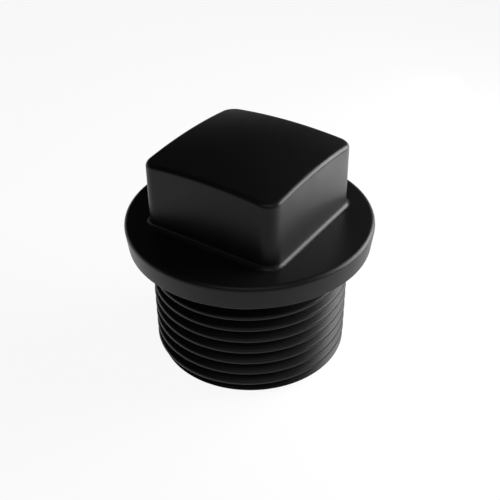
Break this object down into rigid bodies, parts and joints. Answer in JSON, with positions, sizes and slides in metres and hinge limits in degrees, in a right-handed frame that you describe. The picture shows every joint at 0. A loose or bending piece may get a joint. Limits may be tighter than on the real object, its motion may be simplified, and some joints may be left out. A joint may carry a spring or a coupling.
{
  "type": "threaded plug",
  "caption": "Black plastic threaded pipe plug with a square drive head, a round flange and a male parallel pipe thread, hollow from the thread end.",
  "frame": {"origin": "centre of the thread end face, the lowest point of the plug, on its axis", "axes": "+Z along the axis from the thread end up through the head; +X and +Y square to the flats of the head"},
  "size_m": [0.0328, 0.0328, 0.0305],
  "materials": {
    "plug_plastic": "satin black, as moulded"
  },
  "bodies": {
    "root": {"threaded_plug": "plug_plastic"}
  },
  "joints": []
}
